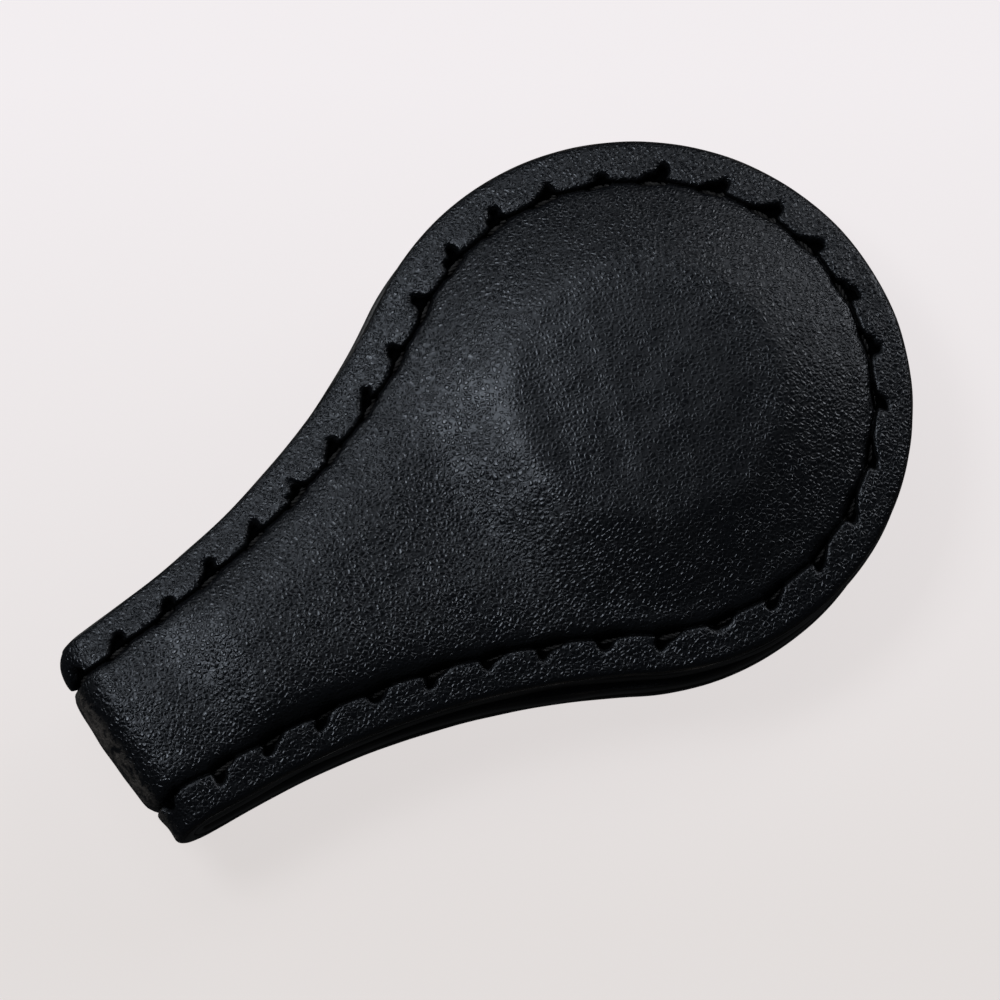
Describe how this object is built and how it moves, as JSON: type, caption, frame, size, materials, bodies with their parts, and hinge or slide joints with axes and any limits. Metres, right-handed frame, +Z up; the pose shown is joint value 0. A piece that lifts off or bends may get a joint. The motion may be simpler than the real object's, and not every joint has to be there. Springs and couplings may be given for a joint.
{
  "type": "magnetic leather clip",
  "caption": "Folded, padded leather strap with a magnet in each round end; the ends snap together to clip onto a page, pocket or note bundle.",
  "frame": {"origin": "on the ground under the centre of the lower magnet, where the lower dome rests", "axes": "+X from the fold to the round ends, +Z up through both leaves"},
  "size_m": [0.065, 0.04, 0.0121],
  "materials": {
    "face_leather": "satin",
    "lining_leather": "matte",
    "thread": "satin",
    "foam": "matte",
    "magnet_plating": "satin"
  },
  "bodies": {
    "lower_leaf": {"face_leather_lower": "face_leather", "lining_lower": "lining_leather", "foam_pad_lower": "foam", "magnet_lower": "magnet_plating", "needle_thread_lower": "thread", "bobbin_thread_lower": "thread"},
    "fold_a": {"face_leather_fold_1": "face_leather", "lining_fold_1": "lining_leather", "needle_thread_fold_1": "thread", "face_leather_fold_2": "face_leather", "lining_fold_2": "lining_leather", "needle_thread_fold_2": "thread"},
    "fold_b": {"face_leather_fold_3": "face_leather", "lining_fold_3": "lining_leather", "needle_thread_fold_3": "thread", "face_leather_fold_4": "face_leather", "lining_fold_4": "lining_leather", "needle_thread_fold_4": "thread"},
    "upper_leaf": {"face_leather_upper": "face_leather", "lining_upper": "lining_leather", "foam_pad_upper": "foam", "magnet_upper": "magnet_plating", "needle_thread_upper": "thread", "bobbin_thread_upper": "thread"}
  },
  "joints": [
    {"name": "fold_bend_1", "type": "hinge", "parent": "lower_leaf", "child": "fold_a", "pos_m": [-0.041, 0, 0.00325], "axis": [0, -1, 0], "range_deg": [0, 45]},
    {"name": "fold_bend_2", "type": "hinge", "parent": "fold_a", "child": "fold_b", "pos_m": [-0.0438, 0, 0.00605], "axis": [0, -1, 0], "range_deg": [0, 90]},
    {"name": "fold_bend_3", "type": "hinge", "parent": "fold_b", "child": "upper_leaf", "pos_m": [-0.041, 0, 0.00885], "axis": [0, -1, 0], "range_deg": [0, 45]}
  ],
  "couplings": [
    {"joint": "fold_bend_2", "follows": "fold_bend_1", "ratio": 2},
    {"joint": "fold_bend_3", "follows": "fold_bend_1", "ratio": 1}
  ]
}
